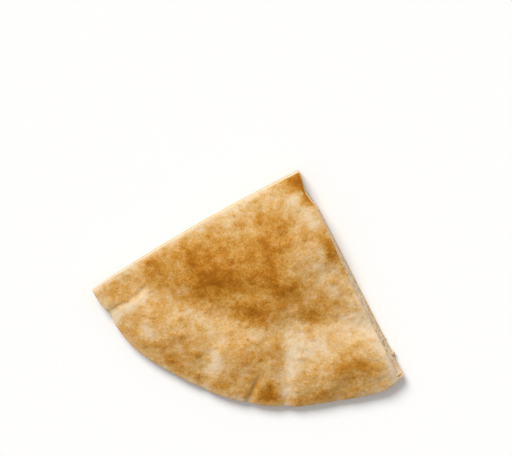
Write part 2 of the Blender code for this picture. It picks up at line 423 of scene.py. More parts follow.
SEAM_SHARE = 0.50
SEAM_SWAY = 0.06
SEAM_SWAY_LUMPS = 16.0
SEAM_WAVER = 0.035
SEAM_WAVER_LUMPS = 4.0
GAP_LEAST = 0.05
GAP_HALF = 0.42
GAP_USUAL, GAP_PATCHY, GAP_LUMPS = 0.5, 1.5, 9.0
GAP_NARROW, GAP_RAGGED, GAP_RAGGED_LUMPS = 0.7, 0.6, 1.7
GAP_SHALLOWEST = 0.5
GAP_REACH = 4.0
GAP_REACH_SHARE = 0.35
GAP_END = 0.86  # share of the way to the rim where the two layers join again
GAP_END_FADE = 0.10
GAP_TIP_FADE = 0.04

PORES = 520
PORE_SMALLEST = 0.22
PORE_SPREAD = 1.5
PORE_SIZE_POWER = 3
PORE_DEPTHS = (0.3, 0.9)
PORE_DEEPEST = 0.9
PORE_SQUASHES = (0.28, 0.6)
PORE_MARGIN = 1.2
CUT_HEIGHT = 9.0


def seam(out, seed):
    """Height share, half gap and depth of the pocket where it shows along a cut."""
    along, line = out * LOAF_RADIUS, np.zeros_like(out)
    share = SEAM_SHARE + SEAM_SWAY * grain(along, line, SEAM_SWAY_LUMPS, seed)
    share = share + SEAM_WAVER * grain(along, line, SEAM_WAVER_LUMPS, seed + 2)
    open_share = smooth_step(GAP_USUAL + GAP_PATCHY * grain(along, line, GAP_LUMPS, seed + 5, 2))
    fade = smooth_step((GAP_END - out) / GAP_END_FADE) * smooth_step(out / GAP_TIP_FADE)
    ragged = GAP_NARROW + GAP_RAGGED * np.abs(grain(along, line, GAP_RAGGED_LUMPS, seed + 9))
    half_gap = fade * (GAP_LEAST + GAP_HALF * open_share * ragged)
    reach = fade * np.minimum(GAP_SHALLOWEST + GAP_REACH * open_share, GAP_REACH_SHARE * out * LOAF_RADIUS)
    return share, half_gap, reach


def pores(along, down, seed):
    """Flattened holes of the open crumb as depth, 0 to about 1, on a strip of cut face."""
    draw = np.random.default_rng(seed)
    depth = np.zeros_like(along)
    for _ in range(PORES):
        size = draw.uniform(0.0, 1.0) ** PORE_SIZE_POWER * PORE_SPREAD + PORE_SMALLEST
        middle, level = draw.uniform(0, LOAF_RADIUS), draw.uniform(0, CUT_HEIGHT)
        hole = draw.uniform(*PORE_DEPTHS) * min(size, PORE_DEEPEST)
        squash = draw.uniform(*PORE_SQUASHES)
        near = np.abs(along - middle) < PORE_MARGIN * size
        away = ((along[near] - middle) / size) ** 2 + ((down[near] - level) / size / squash) ** 2
        depth[near] = np.maximum(depth[near], hole * np.sqrt(np.clip(1 - away, 0, 1)))
    return depth


# The closed mesh: a fine top, a coarser base, and a wall all round that joins them.

RINGS = 236
ROWS = 24
RIM_GAP = 0.8  # how far inside the rim the top and base stop, so that the blunt edge fits between
CRUST, CRUMB = 0, 1


def square_steps(count):
    """Ring share and across share for each (i, j) of a square grid bent to a quarter round."""
    i, j = np.meshgrid(np.arange(count + 1), np.arange(count + 1), indexing="ij")
    ring = np.maximum(i, j)
    safe = np.maximum(ring, 1)
    across = np.where(i >= j, 0.5 * j / safe, 1 - 0.5 * i / safe)
    return ring / count, np.where(ring == 0, 0.5, across)


class Shell:
    """Collects points with their browning, rind, painted shade of pits and painted light of the right cut, and
    faces with their material.
    """

    def __init__(self):
        self.points, self.toast, self.rind, self.pit, self.dust_and_painted_light = [], [], [], [], []
        self.faces, self.kinds = [], []
        self.count = 0

    def add(self, x, y, z, toast, rind=1.0, pit=0.0, dust_and_painted_light=0.0):
        shape = np.shape(x)
        self.points.append(np.stack([np.ravel(x), np.ravel(y), np.ravel(z)], axis=1))
        stores = (self.toast, self.rind, self.pit, self.dust_and_painted_light)
        for store, value in zip(stores, (toast, rind, pit, dust_and_painted_light)):
            store.append(np.ravel(np.broadcast_to(value, shape)))
        first = self.count
        self.count += int(np.prod(shape))
        return np.arange(first, self.count).reshape(shape)

    def quads(self, grid, kind):
        """Faces over a grid of point numbers."""
        made = np.stack([grid[:-1, :-1], grid[1:, :-1], grid[1:, 1:], grid[:-1, 1:]], axis=-1).reshape(-1, 4)
        self.faces += made.tolist()
        self.kinds += [kind] * len(made)

    def stitch(self, fine, coarse, kind):
        """Triangles between a row of points and a row with half as many steps."""
        for c in range(len(coarse) - 1):
            a, b, d = fine[2 * c], fine[2 * c + 1], fine[2 * c + 2]
            self.faces += [[a, b, coarse[c]], [b, coarse[c + 1], coarse[c]], [b, d, coarse[c + 1]]]
            self.kinds += [kind] * 3


PEBBLE = 0.10
PEBBLE_LUMPS = 2.2
DIMPLES = 0.16
DIMPLE_LUMPS = 5.0
PRESSED_EDGE = 0.22  # how far the knife pressed the crust down along a cut, and how far in
PRESSED_RUN = 0.7

BLISTER_TOAST = 0.16
BLISTER_USUAL = 0.25
PEBBLE_TOAST = 0.07
# A pale strip on the flank of the fold that faces the lamp: partly unbrowned dough, partly painted highlight.
FOLD_PALE_AND_HIGHLIGHT = 0.36
FOLD_PALE_PLACE = 1.6
FOLD_PALE_WIDTH = 1.9
LEFT_PALE, LEFT_PALE_RUN = 0.30, 1.3
# Along the right cut, which faces away from the lamp, the crust is painted paler: partly the pale crumb that
# shows there, partly painted light that lifts its shade.
RIGHT_PALE_AND_PAINTED_LIGHT, RIGHT_PALE_RUN = 0.45, 1.9
RIGHT_PALE_FROM, RIGHT_PALE_SPREAD = 0.42, 0.3
TIP_PALE_FROM, TIP_PALE_SPREAD = 0.05, 0.2
RIM_PALE, RIM_PALE_PATCHY, RIM_PALE_RUN = 0.16, 0.10, 1.1


def top_toast(x, y, out, across, from_cut, bubbled, fine):
    """Browning of the top crust, with its blisters darker and its fold and edges paler; the pale strips by the
    fold and the right cut are partly painted light.
    """
    toast = browning(x, y, TOASTED, 0.0)
    toast += BLISTER_TOAST * (bubbled - BLISTER_USUAL) + PEBBLE_TOAST * fine
    beside_fold, along_fold = beside(x, y, FOLD_START, FOLD_END)
    # Painted highlight, with paler dough, on the fold's lamp-facing flank.
    strip = FOLD_PALE_AND_HIGHLIGHT * bell((beside_fold - FOLD_PALE_PLACE) / FOLD_PALE_WIDTH)
    toast -= strip * smooth_step(along_fold / FOLD_FADE + 0.5)
    ragged = 1 + 0.5 * fine
    on_right = across > 0.5
    # Paler along the cuts; on the right one this is partly painted light.
    right_pale_and_painted_light = RIGHT_PALE_AND_PAINTED_LIGHT * smooth_step((out - RIGHT_PALE_FROM) / RIGHT_PALE_SPREAD)
    paled = np.where(on_right, right_pale_and_painted_light, LEFT_PALE)
    paled = paled * smooth_step((out - TIP_PALE_FROM) / TIP_PALE_SPREAD)
    toast -= paled * np.exp(-(from_cut * ragged / np.where(on_right, RIGHT_PALE_RUN, LEFT_PALE_RUN)) ** 2)
    from_rim = (1 - out) * LOAF_RADIUS
    toast -= (RIM_PALE + RIM_PALE_PATCHY * fine) * np.exp(-from_rim / RIM_PALE_RUN)
    return toast


def crust_top(shell):
    out, across = square_steps(RINGS)
    x, y = plan(across, out, LOAF_THICKNESS, RIM_GAP)
    bubbled = blisters(x, y, seed=5)
    fine = grain(x, y, PEBBLE_LUMPS, seed=31, octaves=3)
    dimpled = grain(x, y, DIMPLE_LUMPS, seed=17, octaves=2)
    z = top_height(x, y) + BLISTER_HEIGHT * bubbled + PEBBLE * fine + DIMPLES * dimpled
    from_cut = np.minimum(across, 1 - across) * out * LOAF_RADIUS * math.pi / 2
    z -= PRESSED_EDGE * np.exp(-from_cut / PRESSED_RUN)
    return shell.add(x, y, z, top_toast(x, y, out, across, from_cut, bubbled, fine))


BASE_DIMPLES = 0.22
BASE_DIMPLE_LUMPS = 3.0
BASE_PALER = 0.06


def crust_base(shell):
    out, across = square_steps(RINGS // 2)
    x, y = plan(across, out, 0.0, RIM_GAP)
    dimples = np.maximum(grain(x, y, BASE_DIMPLE_LUMPS, seed=41, octaves=2), 0)
    z = base_height(x, y) + BASE_DIMPLES * dimples * smooth_step(out / 0.05)
    return shell.add(x, y, z, browning(x, y, BASE_TOASTED, 50.0) - BASE_PALER)


def doubled(line):
    """A coarse line of points or values, with one more put in halfway between each two."""
    steps = np.arange(2 * len(line) - 1)
    columns = line.reshape(len(line), -1).T
    return np.stack([np.interp(steps, steps[::2], column) for column in columns], axis=1)


# The crumb between the two skins of a cut face.
SKIN = 0.55
SKIN_MOST = 0.2  # of the thickness
LAYER_ROWS = ROWS // 2 - 4
MIDDLE_ROW = ROWS // 2
GAP_ROWS = ((-1, 0.8), (0, 1.0), (1, 0.8))
GAP_LIP = 0.18
GAP_LIP_REACH = 1.5

SKIN_ROWS = (0.3, 1.0)  # shares of the skin's thickness
LIP_ROW = 0.6  # share of half the gap

RIND = 0.25
RIND_FADE = 0.5
RIND_COLOR_RUN = 0.42
RIND_TOAST = 0.46
TORN_TIP_FADE = 0.03
TORN_RIM_FADE = 0.02
# Painted shade in the pores and the pocket's gap: the deeper a point lies in, the darker its crumb is painted.
PIT_SHADE_FROM, PIT_SHADE_SPREAD = 0.2, 1.2
TORN = 0.12
TORN_RELIEF, TORN_LUMPS = 0.16, 1.9
TORN_GRIT, TORN_GRIT_LUMPS = 0.05, 0.7
# Painted light on the right cut, which faces away from the lamp: how much of the paler crumb it takes, in
# patches.
PAINTED_LIGHT_USUAL, PAINTED_LIGHT_PATCHY, PAINTED_LIGHT_LUMPS = 0.75, 0.9, 5.0


def row_heights(thickness, share, half_gap):
    """Depth below the top crust of each row of a cut face, for each place along it."""
    skin = np.minimum(SKIN, SKIN_MOST * thickness)
    middle = share * thickness
    upper, lower = middle - half_gap, middle + half_gap
    rows = [np.zeros_like(thickness)] + [share_in * skin for share_in in SKIN_ROWS]
    rows += [skin + (upper - skin) * i / LAYER_ROWS for i in range(1, LAYER_ROWS + 1)]
    rows += [middle - LIP_ROW * half_gap, middle, middle + LIP_ROW * half_gap]
    rows += [lower + (thickness - skin - lower) * i / LAYER_ROWS for i in range(0, LAYER_ROWS + 1)]
    rows += [thickness - SKIN_ROWS[0] * skin, thickness]
    return np.stack(rows, axis=1)


def pocket_depth(shape, reach):
    """How far the pocket goes in behind a cut face at each row."""
    gap = np.zeros(shape)
    for row, deep in GAP_ROWS:
        gap[:, MIDDLE_ROW + row] = deep * reach
    for row in (-2, 2):
        gap[:, MIDDLE_ROW + row] = GAP_LIP * np.minimum(reach, GAP_LIP_REACH)
    return gap


def torn_depth(along, down, from_skin, seed):
    """How far the crumb is torn back from the knife's plane, by its pores and by the knife."""
    crumb = smooth_step((from_skin - RIND) / RIND_FADE)
    pit = pores(along, down, seed)
    torn = TORN + TORN_RELIEF * grain(along, 2 * down, TORN_LUMPS, seed + 21, 3)
    torn = torn + TORN_GRIT * grain(along, down, TORN_GRIT_LUMPS, seed + 23)
    return crumb * (torn + pit)


def cut_points(upper, lower, side, seed):
    """Places of a cut face's points, row by row from the top line down, with their rind, their painted pit
    shade and the painted light of the right cut.
    """
    out = np.arange(RINGS + 1) / RINGS
    thickness = upper[:, 2] - lower[:, 2]
    share, half_gap, reach = seam(out, seed)
    down = row_heights(thickness, share, half_gap)
    fraction = (down / thickness[:, None])[..., None]
    place = upper[:, None, :] * (1 - fraction) + lower[:, None, :] * fraction
    along = np.repeat((out * LOAF_RADIUS)[:, None], down.shape[1], axis=1)
    from_skin = np.minimum(down, thickness[:, None] - down)
    depth = torn_depth(along, down, from_skin, seed) + pocket_depth(down.shape, reach)
    depth = depth * smooth_step(out / TORN_TIP_FADE)[:, None] * smooth_step((1 - out) / TORN_RIM_FADE)[:, None]
    cut = math.radians(LEFT_CUT if side < 0 else RIGHT_CUT)
    outward = np.array([math.cos(cut), math.sin(cut), 0]) * side
    place -= outward * depth[..., None]
    rind = np.exp(-from_skin / RIND_COLOR_RUN)
    # How much painted shade each point takes, from how deep it lies in a pore or in the gap.
    pit = np.clip((depth - PIT_SHADE_FROM) / PIT_SHADE_SPREAD, 0, 1)
    # Painted light: only the right cut, in the lamp's shade, gets the paler crumb.
    dust_and_painted_light = (side > 0) * np.clip(PAINTED_LIGHT_USUAL + PAINTED_LIGHT_PATCHY * grain(along, down, PAINTED_LIGHT_LUMPS, seed + 25, 2), 0, 1)
    return place, rind, pit, dust_and_painted_light


def cut_wall(shell, top_line, base_line, side, seed, tip_column, rim_column):
    """The crumb that a knife cut lays open, between a line of top points and one of base points.

    The first wall makes the column of points at the tip and returns it, and the second one shares it.
    """
    points = np.concatenate(shell.points)
    place, rind, pit, dust_and_painted_light = cut_points(points[top_line], doubled(points[base_line]), side, seed)
    toast = np.maximum(np.concatenate(shell.toast)[top_line], RIND_TOAST)[:, None]
    ids = np.empty((RINGS + 1, ROWS), dtype=int)
    inner = (slice(1, -1), slice(1, -1))
    toasts = np.broadcast_to(toast, rind.shape)[inner]
    ids[1:-1, 1:] = shell.add(*place[inner].transpose(2, 0, 1), toasts, rind[inner], pit[inner], dust_and_painted_light[inner])
    ids[:, 0] = top_line
    if tip_column is None:
        tip_column = shell.add(*place[0, 1:-1].T, toast[0], rind[0, 1:-1])
    ids[0, 1:] = tip_column
    ids[-1, 1:] = rim_column
    shell.quads(ids, CRUMB)
    shell.stitch(ids[:, -1], base_line, CRUMB)
    return tip_column


EDGE_NAP, EDGE_NAP_LUMPS = 0.10, 1.6
RIM_TOAST = 0.30
RIM_CLOUDS, RIM_CLOUD_LUMPS = 0.10, 5.0
RIM_MOTTLE, RIM_MOTTLE_LUMPS = 0.10, 1.8
RIM_DRIFT, RIM_DRIFT_LUMPS = 0.3, 4.0
# Shares of the way down the edge, where one browning gives way to the next.
TOP_BLEND, TOP_HOLD = 0.7, 0.1
BASE_BLEND_FROM, BASE_BLEND = 0.4, 0.6


def rim_toast(baked_top, baked_base, level, x, y, z):
    """Browning of the blunt edge, from the top crust's above, through its own, to the base's below."""
    own = RIM_TOAST + RIM_CLOUDS * grain(x, y, RIM_CLOUD_LUMPS, 63.0, 2, z)
    own = own + RIM_MOTTLE * grain(x, y, RIM_MOTTLE_LUMPS, 67.0, 2, z)
    drift = RIM_DRIFT * grain(x, y, RIM_DRIFT_LUMPS, 65.0, 3, z)
    to_own = smooth_step((level + drift) / TOP_BLEND)
    toast = baked_top + (own - baked_top) * to_own * smooth_step(level / TOP_HOLD)
    return toast + (baked_base - toast) * smooth_step((level + drift - BASE_BLEND_FROM) / BASE_BLEND)


def rim_band(shell, top_line, base_line):
    """The blunt baked edge, from the last ring of the top round to the last ring of the base."""
    points = np.concatenate(shell.points)
    upper, lower = points[top_line], doubled(points[base_line])
    above = (LOAF_THICKNESS - RIM_HEIGHT) * (1 - (1 - RIM_GAP / SHOULDER_RUN) ** 2) ** SHOULDER_POWER
    below = RIM_HEIGHT * math.sqrt(1 - (1 - RIM_GAP / FOOT_RUN) ** 2)
    level = np.arange(1, ROWS) / ROWS
    rise = above - (above + below) * level
    over = np.sqrt(1 - (np.maximum(rise, 0) / (LOAF_THICKNESS - RIM_HEIGHT)) ** (1 / SHOULDER_POWER))
    under = np.sqrt(1 - (np.maximum(-rise, 0) / RIM_HEIGHT) ** 2)
    bulge = RIM_GAP - SHOULDER_RUN * (1 - over) - FOOT_RUN * (1 - under)
    place = upper[:, None, :] * (1 - level[:, None]) + lower[:, None, :] * level[:, None]
    outward = upper[:, :2] - [0, TIP_PAST_CENTRE]
    outward /= np.linalg.norm(outward, axis=1)[:, None]
    x = place[..., 0] + outward[:, :1] * bulge
    y = place[..., 1] + outward[:, 1:] * bulge
    z = place[..., 2]
    nap = EDGE_NAP * grain(x, y, EDGE_NAP_LUMPS, 61.0, 2, z) * np.sin(np.pi * level)
    x, y = x + outward[:, :1] * nap, y + outward[:, 1:] * nap
    baked = np.concatenate(shell.toast)
    toast = rim_toast(baked[top_line][:, None], doubled(baked[base_line]), level, x, y, z)
    ids = np.empty((len(upper), ROWS), dtype=int)
    ids[:, 1:] = shell.add(x, y, z, toast)
    ids[:, 0] = top_line
    shell.quads(ids, CRUST)
    shell.stitch(ids[:, -1], base_line, CRUST)
    return ids[0, 1:], ids[-1, 1:]


LEFT_CUT_SEED, RIGHT_CUT_SEED = 70, 90


def quarter_mesh():
    shell = Shell()
    top = crust_top(shell)
    base = crust_base(shell)
    top_rim = np.concatenate([top[-1, :], top[-2::-1, -1]])
    base_rim = np.concatenate([base[-1, :], base[-2::-1, -1]])
    left_end, right_end = rim_band(shell, top_rim, base_rim)
    shell.quads(top, CRUST)
    shell.quads(base, CRUST)
    tip_column = cut_wall(shell, top[:, 0], base[:, 0], -1, LEFT_CUT_SEED, None, left_end)
    cut_wall(shell, top[0, :], base[0, :], 1, RIGHT_CUT_SEED, tip_column, right_end)
    return shell


shell = quarter_mesh()
points = np.concatenate(shell.points)
node_low, node_high = (np.array(corner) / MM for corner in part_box("pita_quarter"))
own_low, own_high = points.min(axis=0), points.max(axis=0)
points[:, :2] += ((node_low + node_high) / 2 - (own_low + own_high) / 2)[:2]
points[:, 2] += node_low[2] - own_low[2]

mesh = bpy.data.meshes.new("pita_quarter_baked")
mesh.from_pydata((points * MM).tolist(), [], shell.faces)
for name in ("toast", "rind", "pit", "dust_and_painted_light"):
    values = np.concatenate(getattr(shell, name)).astype(np.float32)
    mesh.attributes.new(name, "FLOAT", "POINT").data.foreach_set("value", values)
mesh.polygons.foreach_set("material_index", np.array(shell.kinds, dtype=np.int32))
form = bmesh.new()
form.from_mesh(mesh)
bmesh.ops.recalc_face_normals(form, faces=form.faces)
for face in form.faces:
    face.smooth = True
for edge in form.edges:
    edge.smooth = edge.link_faces[0].material_index == edge.link_faces[1].material_index
form.to_mesh(mesh)
form.free()


# The finish of crust and crumb.

def feed(tree, socket, value):
    """Links a socket to another node's output, or sets it to a plain value."""
    if isinstance(value, bpy.types.NodeSocket):
        tree.links.new(value, socket)
    else:
        socket.default_value = value


def add_node(tree, kind, **inputs):
    """A shader node with the given inputs, where an underscore stands for a space in a socket's name."""
    made = tree.nodes.new("ShaderNode" + kind)
    for name, value in inputs.items():
        feed(tree, made.inputs[name.replace("_", " ")], value)
    return made


def math_node(tree, operation, first, second=0.0, clamp=False):
    made = tree.nodes.new("ShaderNodeMath")
    made.operation = operation
    made.use_clamp = clamp
    for socket, value in zip(made.inputs, (first, second)):
        feed(tree, socket, value)
    return made.outputs[0]


MIX_SOCKETS = (0, 6, 7)  # a colour mix's share and its two colours
MIX_RESULT = 2


def mix_node(tree, share, first, second):
    made = tree.nodes.new("ShaderNodeMix")
    made.data_type = "RGBA"
    for socket, value in zip(MIX_SOCKETS, (share, first, second)):
        feed(tree, made.inputs[socket], value)
    return made.outputs[MIX_RESULT]


def ramp_node(tree, value, stops):
    made = tree.nodes.new("ShaderNodeValToRGB")
    ramp = made.color_ramp
    ramp.interpolation = "LINEAR"
    while len(ramp.elements) < len(stops):
        ramp.elements.new(0.5)
    for element, (place, color) in zip(ramp.elements, stops):
        element.position = place
        element.color = (*color, 1.0)
    tree.links.new(value, made.inputs[0])
    return made.outputs[0]


def noise_node(tree, vector, size, detail=2.0, rough=0.5):
    """Noise whose lumps are about `size` metres across."""
    made = add_node(tree, "TexNoise", Vector=vector, Scale=1 / size, Detail=detail, Roughness=rough)
    return made.outputs["Fac"]


def shade_group(name, inputs, outputs):
    """A new shader group, with the sockets that its inputs come out of and its results go into."""
    tree = bpy.data.node_groups.new(name, "ShaderNodeTree")
    for label, kind, value in inputs:
        socket = tree.interface.new_socket(name=label, in_out="INPUT", socket_type="NodeSocket" + kind)
        if value is not None:
            socket.default_value = value
    for label, kind in outputs:
        tree.interface.new_socket(name=label, in_out="OUTPUT", socket_type="NodeSocket" + kind)
    return tree, tree.nodes.new("NodeGroupInput").outputs, tree.nodes.new("NodeGroupOutput").inputs


def use_group(tree, group, **inputs):
    made = tree.nodes.new("ShaderNodeGroup")
    made.node_tree = group
    for name, value in inputs.items():
        feed(tree, made.inputs[name], value)
    return made.outputs


# Colours of baked dough, from pale to dark.
BAKED_COLORS = (
    (0.00, (0.740, 0.570, 0.370)),
    (0.20, (0.700, 0.475, 0.240)),
    (0.40, (0.625, 0.358, 0.115)),
    (0.60, (0.530, 0.245, 0.038)),
    (0.80, (0.410, 0.152, 0.010)),
    (1.00, (0.325, 0.108, 0.006)),
)
FLOUR_COLOR = (0.680, 0.520, 0.340, 1.0)
BRAN_COLOR = (0.20, 0.085, 0.025, 1.0)

# Sizes of the crust's speckle in metres, and how far each moves the browning.
BROAD_SPECK, BROAD_SHARE = 0.0045, 0.30
FINE_SPECK, FINE_SHARE = 0.0011, 0.42
GRIT_SPECK, GRIT_SHARE = 0.00045, 0.50
DUST_PATCH = 0.0024
DUST_FROM, DUST_CONTRAST = 0.52, 5.0
BRAN_SPACING = 0.0034
BRAN_SIZE, BRAN_SHARPNESS, BRAN_SHARE = 0.085, 18.0, 0.5


def build_browning():
    """Colour of baked dough: pale to dark with `Toast`, speckled, dusted with flour and flecked with bran."""
    inputs = (("Vector", "Vector", None), ("Toast", "Float", 0.4), ("Speckle", "Float", 1.0),
              ("Flour", "Float", 0.5))
    tree, given, result = shade_group("oven browning", inputs, (("Color", "Color"), ("Browned", "Float")))
    place = given["Vector"]
    broad = math_node(tree, "SUBTRACT", noise_node(tree, place, BROAD_SPECK, 3.0), 0.5)
    broad = math_node(tree, "MULTIPLY", broad, BROAD_SHARE)
    fine = math_node(tree, "SUBTRACT", noise_node(tree, place, FINE_SPECK, 2.0, 0.6), 0.5)
    fine = math_node(tree, "MULTIPLY", fine, FINE_SHARE)
    grit = math_node(tree, "SUBTRACT", noise_node(tree, place, GRIT_SPECK, 1.0), 0.5)
    grit = math_node(tree, "MULTIPLY", grit, GRIT_SHARE)
    speckle = math_node(tree, "ADD", math_node(tree, "ADD", broad, fine), grit)
    speckle = math_node(tree, "MULTIPLY", speckle, given["Speckle"])
    browned = math_node(tree, "ADD", given["Toast"], speckle, clamp=True)
    color = ramp_node(tree, browned, BAKED_COLORS)
    dust_and_painted_light = math_node(tree, "SUBTRACT", noise_node(tree, place, DUST_PATCH, 4.0, 0.65), DUST_FROM)
    dust_and_painted_light = math_node(tree, "MULTIPLY", dust_and_painted_light, DUST_CONTRAST, clamp=True)
    dust_and_painted_light = math_node(tree, "MULTIPLY", dust_and_painted_light, given["Flour"])
    dust_and_painted_light = math_node(tree, "MULTIPLY", dust_and_painted_light, math_node(tree, "SUBTRACT", 1.0, browned))
    color = mix_node(tree, dust_and_painted_light, color, FLOUR_COLOR)
    flecks = add_node(tree, "TexVoronoi", Vector=place, Scale=1 / BRAN_SPACING).outputs["Distance"]
    fleck = math_node(tree, "SUBTRACT", BRAN_SIZE, flecks)
    fleck = math_node(tree, "MULTIPLY", fleck, BRAN_SHARPNESS, clamp=True)
    color = mix_node(tree, math_node(tree, "MULTIPLY", fleck, BRAN_SHARE), color, BRAN_COLOR)
    tree.links.new(color, result["Color"])
    tree.links.new(browned, result["Browned"])
    return tree


GROUND_SIZE, GROUND_SHARE = 0.0013, 0.6
NAP_SIZE, NAP_SHARE = 0.0005, 0.30
PIT_SPACING, PIT_SIZE, PIT_STEEPNESS = 0.0016, 0.22, 3.0


def build_pebble():
    """Height of a dry baked skin: a pebbled ground with fine pits."""
    tree, given, result = shade_group(
        "pebbled skin", (("Vector", "Vector", None), ("Pits", "Float", 0.5)), (("Height", "Float"),))
    place = given["Vector"]
    ground = math_node(tree, "MULTIPLY", noise_node(tree, place, GROUND_SIZE, 3.0, 0.55), GROUND_SHARE)
    nap = math_node(tree, "MULTIPLY", noise_node(tree, place, NAP_SIZE, 2.0, 0.6), NAP_SHARE)
    ground = math_node(tree, "ADD", ground, nap)
    cells = add_node(tree, "TexVoronoi", Vector=place, Scale=1 / PIT_SPACING).outputs["Distance"]
    pits = math_node(tree, "SUBTRACT", PIT_SIZE, cells)
    pits = math_node(tree, "MULTIPLY", pits, PIT_STEEPNESS, clamp=True)
    pits = math_node(tree, "MULTIPLY", pits, given["Pits"])
    tree.links.new(math_node(tree, "SUBTRACT", ground, pits), result["Height"])
    return tree


def new_material(name):
    """A material with its node tree, its surface shader and the place of each point on the object."""
    made = bpy.data.materials.new(name)
    made.use_nodes = True
    tree = made.node_tree
    surface = tree.nodes["Principled BSDF"]
    place = tree.nodes.new("ShaderNodeTexCoord").outputs["Object"]
    return made, tree, surface, place


def attribute(tree, name):
    """A value that the mesh carries at its points."""
    made = tree.nodes.new("ShaderNodeAttribute")
    made.attribute_name = name
    return made.outputs["Fac"]


def bump(tree, surface, height, distance):
    made = add_node(tree, "Bump", Height=height, Distance=distance, Strength=1.0)
    tree.links.new(made.outputs[0], surface.inputs["Normal"])


browning_group = build_browning()
pebble_group = build_pebble()

PALE_ROUGHNESS = 0.90
DARK_ROUGHNESS = 0.70
CRUST_BUMP = 0.00034


def make_crust():
    material, tree, surface, place = new_material("baked_crust")
    toast = attribute(tree, "toast")
    look = use_group(tree, browning_group, Vector=place, Toast=toast, Speckle=1.0, Flour=0.26)
    tree.links.new(look["Color"], surface.inputs["Base Color"])
    rough = add_node(tree, "MapRange", Value=look["Browned"], To_Min=PALE_ROUGHNESS, To_Max=DARK_ROUGHNESS)
    tree.links.new(rough.outputs[0], surface.inputs["Roughness"])
    surface.inputs["Specular IOR Level"].default_value = 0.06
    surface.inputs["Subsurface Weight"].default_value = 0.06
    surface.inputs["Subsurface Radius"].default_value = (1.0, 0.5, 0.2)
    surface.inputs["Subsurface Scale"].default_value = 0.001
    height = use_group(tree, pebble_group, Vector=place, Pits=0.35)
    bump(tree, surface, height["Height"], CRUST_BUMP)
    return material


CRUMB_LIGHT = (0.745, 0.595, 0.415, 1.0)
CRUMB_WARM = (0.690, 0.510, 0.325, 1.0)
PAINTED_LIGHT_CRUMB = (0.835, 0.650, 0.440, 1.0)  # painted light: a paler crumb for the right cut, which faces away from the lamp, to lift its shade
# The painted shade of the pores and of the pocket's gap.
PAINTED_PORE_SHADE = (0.520, 0.325, 0.165, 1.0)
CRUMB_CLOUD = 0.003
FOAM_CELL = 0.0007
FOAM_GRAIN, FOAM_GRAIN_SHARE = 0.0004, 0.5
CRUMB_BUMP = 0.00016


def make_crumb():
    material, tree, surface, place = new_material("open_crumb")
    shade = noise_node(tree, place, CRUMB_CLOUD, 3.0)
    color = mix_node(tree, shade, CRUMB_LIGHT, CRUMB_WARM)
    # Painted light: the right cut, in shade, is painted a paler crumb.
    color = mix_node(tree, attribute(tree, "dust_and_painted_light"), color, PAINTED_LIGHT_CRUMB)
    # Painted shade: darker where the crumb lies deep in a pore or in the pocket's gap.
    color = mix_node(tree, attribute(tree, "pit"), color, PAINTED_PORE_SHADE)
    toast = attribute(tree, "toast")
    skin = use_group(tree, browning_group, Vector=place, Toast=toast, Speckle=0.6, Flour=0.2)
    color = mix_node(tree, attribute(tree, "rind"), color, skin["Color"])
    tree.links.new(color, surface.inputs["Base Color"])
    surface.inputs["Roughness"].default_value = 0.9
    surface.inputs["Specular IOR Level"].default_value = 0.2
    surface.inputs["Subsurface Weight"].default_value = 0.25
    surface.inputs["Subsurface Radius"].default_value = (1.0, 0.6, 0.35)
    surface.inputs["Subsurface Scale"].default_value = 0.0012
    foam = add_node(tree, "TexVoronoi", Vector=place, Scale=1 / FOAM_CELL).outputs["Distance"]
    nap = math_node(tree, "MULTIPLY", noise_node(tree, place, FOAM_GRAIN, 2.0), FOAM_GRAIN_SHARE)
    bump(tree, surface, math_node(tree, "ADD", foam, nap), CRUMB_BUMP)
    return material


quarter = bpy.data.objects.new("pita_quarter_baked", mesh)
bpy.context.scene.collection.objects.link(quarter)
mesh.materials.append(make_crust())
mesh.materials.append(make_crumb())
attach(quarter, "root")
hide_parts("pita_quarter")


# ---------------------------------------------------------------------------
# The loose crumbs: bits of crumb and of crust that the knife tore off. They
# still cling to the right cut, most of them near the dry and thin corner.
# The lengths from here on are in metres.
# ---------------------------------------------------------------------------

CRUMB_COUNT = 26
CRUMB_SMALL, CRUMB_LARGE = 0.00016, 0.00070
CRUMBS_FROM = -0.004  # how far along Y from the middle of the quarter they start
CRUMBS_FACING = 0.35  # least part of a face's direction that points to +X
CRUMBS_GATHER = 1.5
CRUMBS_SEED = 31
CRUMB_SINK = 0.1
CRUMB_SIZE_POWER = 3
CRUMB_RAGGED = 0.45
CRUMB_LUMPS = 1.1
CRUMB_FLATNESS = (0.8, 0.7)


def crumb_places(count):
    """Points on the right cut with their outward directions, closer together towards the rim.

    Each comes with four random numbers from 0 to 1.
    """
    face_centres = []
    for face in mesh.polygons:
        on_right_cut = face.material_index == CRUMB and face.normal.x > CRUMBS_FACING
        if on_right_cut and face.center.y < CRUMBS_FROM:
            face_centres.append((face.center.copy(), face.normal.copy()))
    face_centres.sort(key=lambda pair: (round(pair[0].y, 5), round(pair[0].z, 5)))
    draw = np.random.default_rng(CRUMBS_SEED)
    for _ in range(count):
        yield face_centres[int(len(face_centres) * draw.random() ** CRUMBS_GATHER)], draw.uniform(0, 1, 4)


